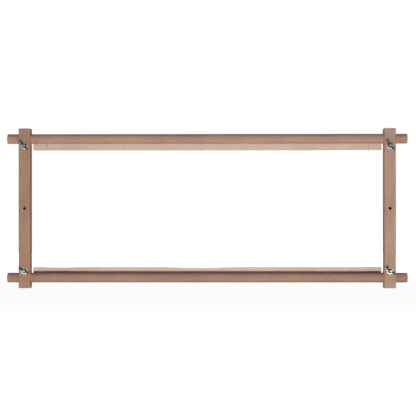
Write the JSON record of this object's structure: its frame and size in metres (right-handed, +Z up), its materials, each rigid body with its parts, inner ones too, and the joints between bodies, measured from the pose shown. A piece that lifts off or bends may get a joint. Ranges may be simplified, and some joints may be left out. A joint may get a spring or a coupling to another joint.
{
  "type": "rotating tapestry frame",
  "caption": "Beech needlework frame: rollers with cotton webbing turn in split-end side bars and are locked by wing nuts.",
  "frame": {"origin": "on the floor under the middle of the frame's box, wing tips and bolt heads included", "axes": "+X along the rollers to the right seen from the front, +Y from the front to the back, +Z up along the side bars"},
  "size_m": [0.8784, 0.0496, 0.35],
  "materials": {
    "beech_bar": "sanded, bare",
    "beech_roller": "sanded, bare",
    "webbing": "woven cotton",
    "plated_steel": "zinc plated",
    "staple_wire": "galvanised"
  },
  "bodies": {
    "left_bar": {"side_bar_left": "beech_bar", "clamp_bolt_top_left": "plated_steel", "clamp_bolt_bottom_left": "plated_steel"},
    "right_bar": {"side_bar_right": "beech_bar", "clamp_bolt_top_right": "plated_steel", "clamp_bolt_bottom_right": "plated_steel"},
    "top_roller": {"roller_top": "beech_roller", "webbing_top": "webbing", "webbing_staples_top": "staple_wire"},
    "bottom_roller": {"roller_bottom": "beech_roller", "webbing_bottom": "webbing", "webbing_staples_bottom": "staple_wire"},
    "top_left_washer": {"washer_top_left": "plated_steel"},
    "top_left_nut": {"wing_nut_top_left": "plated_steel"},
    "top_right_washer": {"washer_top_right": "plated_steel"},
    "top_right_nut": {"wing_nut_top_right": "plated_steel"},
    "bottom_left_washer": {"washer_bottom_left": "plated_steel"},
    "bottom_left_nut": {"wing_nut_bottom_left": "plated_steel"},
    "bottom_right_washer": {"washer_bottom_right": "plated_steel"},
    "bottom_right_nut": {"wing_nut_bottom_right": "plated_steel"}
  },
  "joints": [
    {"name": "top_roller_turn", "type": "hinge", "parent": "left_bar", "child": "top_roller", "pos_m": [0, 0.00585, 0.3275], "axis": [1, 0, 0], "continuous": true},
    {"name": "bottom_roller_turn", "type": "hinge", "parent": "left_bar", "child": "bottom_roller", "pos_m": [0, 0.00585, 0.0225], "axis": [1, 0, 0], "continuous": true},
    {"name": "right_bar_slide", "type": "slide", "parent": "left_bar", "child": "right_bar", "axis": [1, 0, 0], "range_m": [0, 0.026]},
    {"name": "top_left_washer_slide", "type": "slide", "parent": "left_bar", "child": "top_left_washer", "axis": [0, -1, 0], "range_m": [0, 0.0032]},
    {"name": "top_left_nut_turn", "type": "hinge", "parent": "top_left_washer", "child": "top_left_nut", "pos_m": [-0.4002, -0.01135, 0.312], "axis": [0, -1, 0], "range_deg": [0, 1440]},
    {"name": "top_right_washer_slide", "type": "slide", "parent": "right_bar", "child": "top_right_washer", "axis": [0, -1, 0], "range_m": [0, 0.0032]},
    {"name": "top_right_nut_turn", "type": "hinge", "parent": "top_right_washer", "child": "top_right_nut", "pos_m": [0.4002, -0.01135, 0.312], "axis": [0, -1, 0], "range_deg": [0, 1440]},
    {"name": "bottom_left_washer_slide", "type": "slide", "parent": "left_bar", "child": "bottom_left_washer", "axis": [0, -1, 0], "range_m": [0, 0.0032]},
    {"name": "bottom_left_nut_turn", "type": "hinge", "parent": "bottom_left_washer", "child": "bottom_left_nut", "pos_m": [-0.4002, -0.01135, 0.038], "axis": [0, -1, 0], "range_deg": [0, 1440]},
    {"name": "bottom_right_washer_slide", "type": "slide", "parent": "right_bar", "child": "bottom_right_washer", "axis": [0, -1, 0], "range_m": [0, 0.0032]},
    {"name": "bottom_right_nut_turn", "type": "hinge", "parent": "bottom_right_washer", "child": "bottom_right_nut", "pos_m": [0.4002, -0.01135, 0.038], "axis": [0, -1, 0], "range_deg": [0, 1440]}
  ],
  "couplings": [
    {"joint": "top_left_nut_turn", "follows": "top_left_washer_slide", "rad_per_m": 7854},
    {"joint": "top_right_nut_turn", "follows": "top_right_washer_slide", "rad_per_m": 7854},
    {"joint": "bottom_left_nut_turn", "follows": "bottom_left_washer_slide", "rad_per_m": 7854},
    {"joint": "bottom_right_nut_turn", "follows": "bottom_right_washer_slide", "rad_per_m": 7854}
  ]
}
